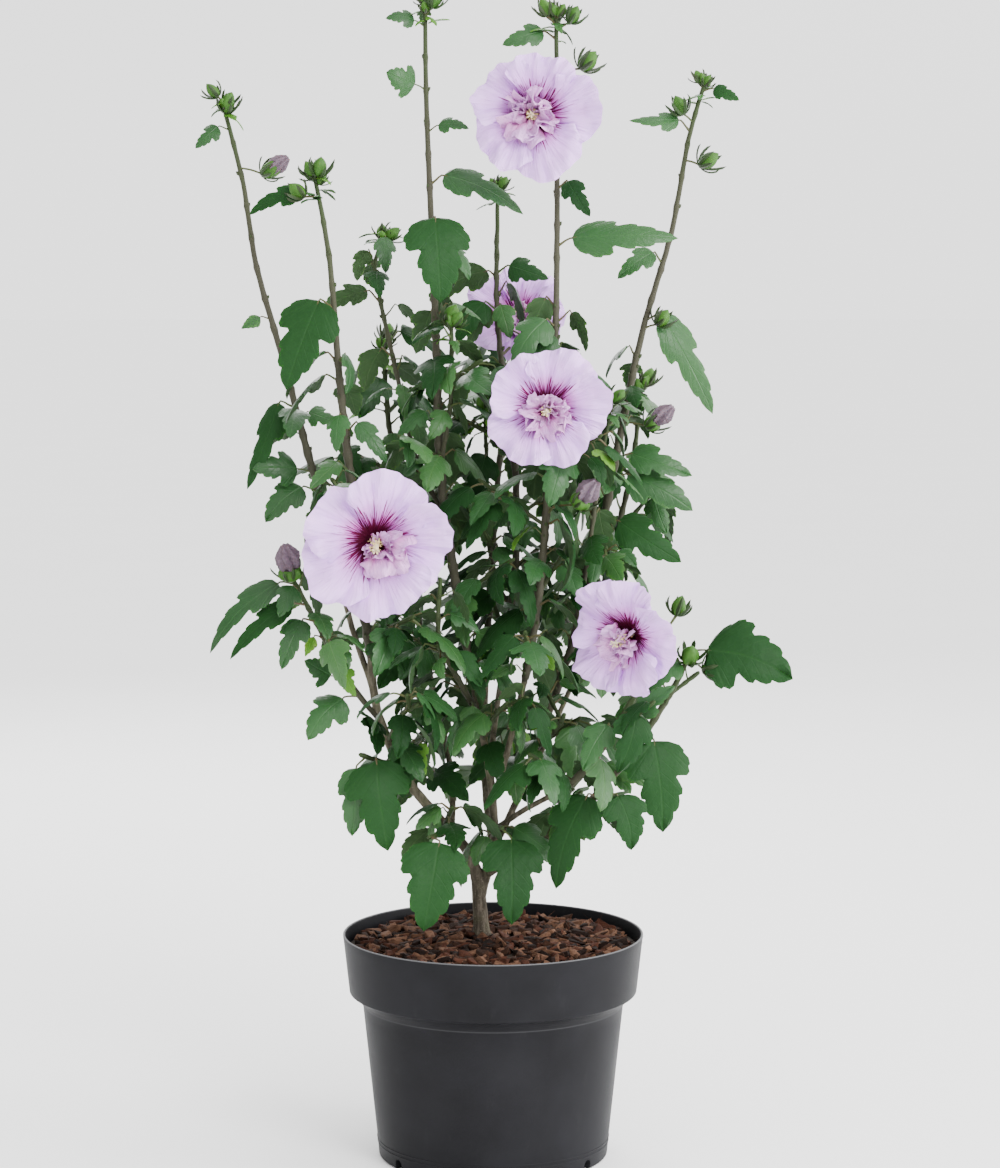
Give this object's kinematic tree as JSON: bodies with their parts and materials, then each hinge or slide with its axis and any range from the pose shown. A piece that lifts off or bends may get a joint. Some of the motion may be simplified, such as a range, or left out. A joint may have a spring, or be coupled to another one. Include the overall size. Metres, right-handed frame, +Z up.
{
  "type": "potted hibiscus shrub",
  "caption": "Young multi-stemmed hibiscus shrub with lobed green leaves and double lavender blooms, in a round charcoal nursery pot topped with bark mulch.",
  "frame": {"origin": "middle of the pot's flat underside, where it stands", "axes": "+Z up, +X to the right of the plant's front and +Y towards its back, so the front looks along -Y"},
  "size_m": [0.5095, 0.376, 0.9969],
  "materials": {
    "pot": "moulded charcoal polypropylene, satin matt",
    "root_ball": "moist dark compost full of roots",
    "bark_mulch": "chipped red-brown pine bark",
    "bark": "grey-brown to tan shrub bark, matt",
    "foliage": "deep green leaves with paler undersides, satin",
    "petals": "soft lavender petals with a dark maroon eye, matt"
  },
  "bodies": {
    "root": {"bark_mulch": "bark_mulch", "bloom_back": "petals", "bloom_left": "petals", "bloom_middle": "petals", "bloom_rear": "petals", "bloom_rear_left": "petals", "bloom_right": "petals", "bloom_top": "petals", "bough_back": "bark", "bough_centre": "bark", "bough_front_right": "bark", "bough_inner": "bark", "bough_left": "bark", "bough_low_right": "bark", "bough_outer_left": "bark", "bough_rear": "bark", "bough_rear_left": "bark", "bough_rear_right": "bark", "bough_right": "bark", "foliage_back": "foliage", "foliage_core": "foliage", "foliage_front_right": "foliage", "foliage_inner": "foliage", "foliage_left": "foliage", "foliage_low_left": "foliage", "foliage_low_right": "foliage", "foliage_outer_left": "foliage", "foliage_rear": "foliage", "foliage_rear_left": "foliage", "foliage_rear_right": "foliage", "foliage_right": "foliage", "foliage_skirt_front": "foliage", "foliage_skirt_front_left": "foliage", "foliage_skirt_left": "foliage", "foliage_skirt_rear": "foliage", "foliage_skirt_rear_left": "foliage", "foliage_skirt_rear_right": "foliage", "foliage_skirt_right": "foliage", "foliage_tall": "foliage", "foliage_waist_front": "foliage", "foliage_waist_left": "foliage", "foliage_waist_right": "foliage", "pot": "pot", "root_ball": "root_ball", "trunk": "bark"}
  },
  "joints": []
}
